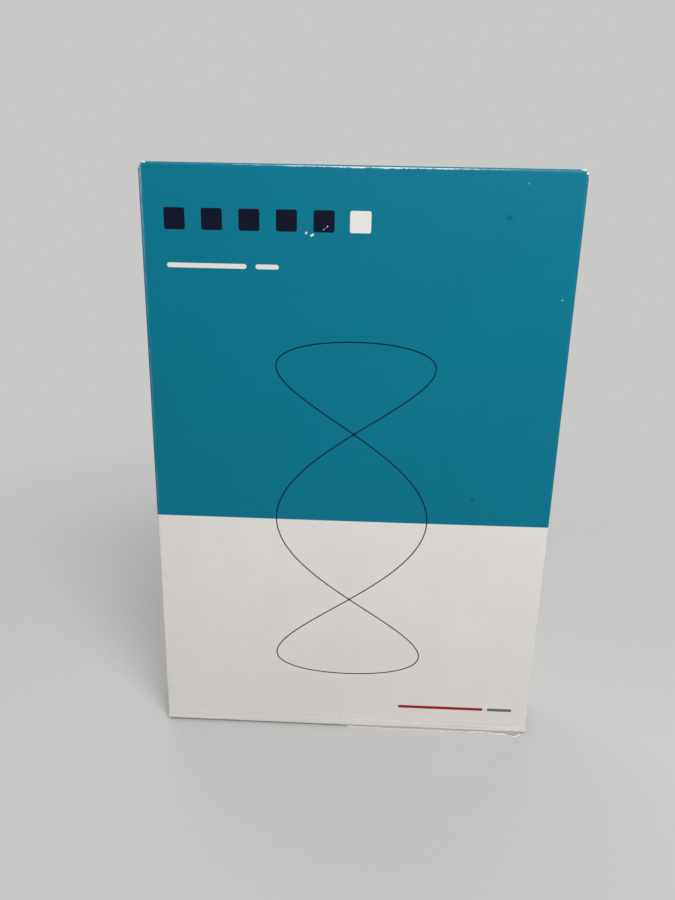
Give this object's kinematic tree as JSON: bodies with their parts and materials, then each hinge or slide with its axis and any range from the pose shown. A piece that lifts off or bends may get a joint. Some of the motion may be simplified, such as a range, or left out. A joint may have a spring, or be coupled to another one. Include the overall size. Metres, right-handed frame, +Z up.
{
  "type": "folding carton",
  "caption": "Closed folding carton for a flat sterile pack, with a tuck lid hinged at the back, two-tone printed board and a torn glued bottom flap.",
  "frame": {"origin": "middle of the underside of the bottom flap that the carton stands on", "axes": "+Z up along the front panel's long side, front panel towards -Y, +X to the right seen from the front"},
  "size_m": [0.115, 0.0236, 0.169],
  "materials": {
    "printed_board": "satin",
    "printed_lid": "satin"
  },
  "bodies": {
    "carton": {"carton": "printed_board"},
    "lid": {"tuck_lid": "printed_lid"}
  },
  "joints": [
    {"name": "lid_hinge", "type": "hinge", "parent": "carton", "child": "lid", "pos_m": [0, 0.01077, 0.16878], "axis": [-1, 0, 0], "range_deg": [0, 180]}
  ]
}
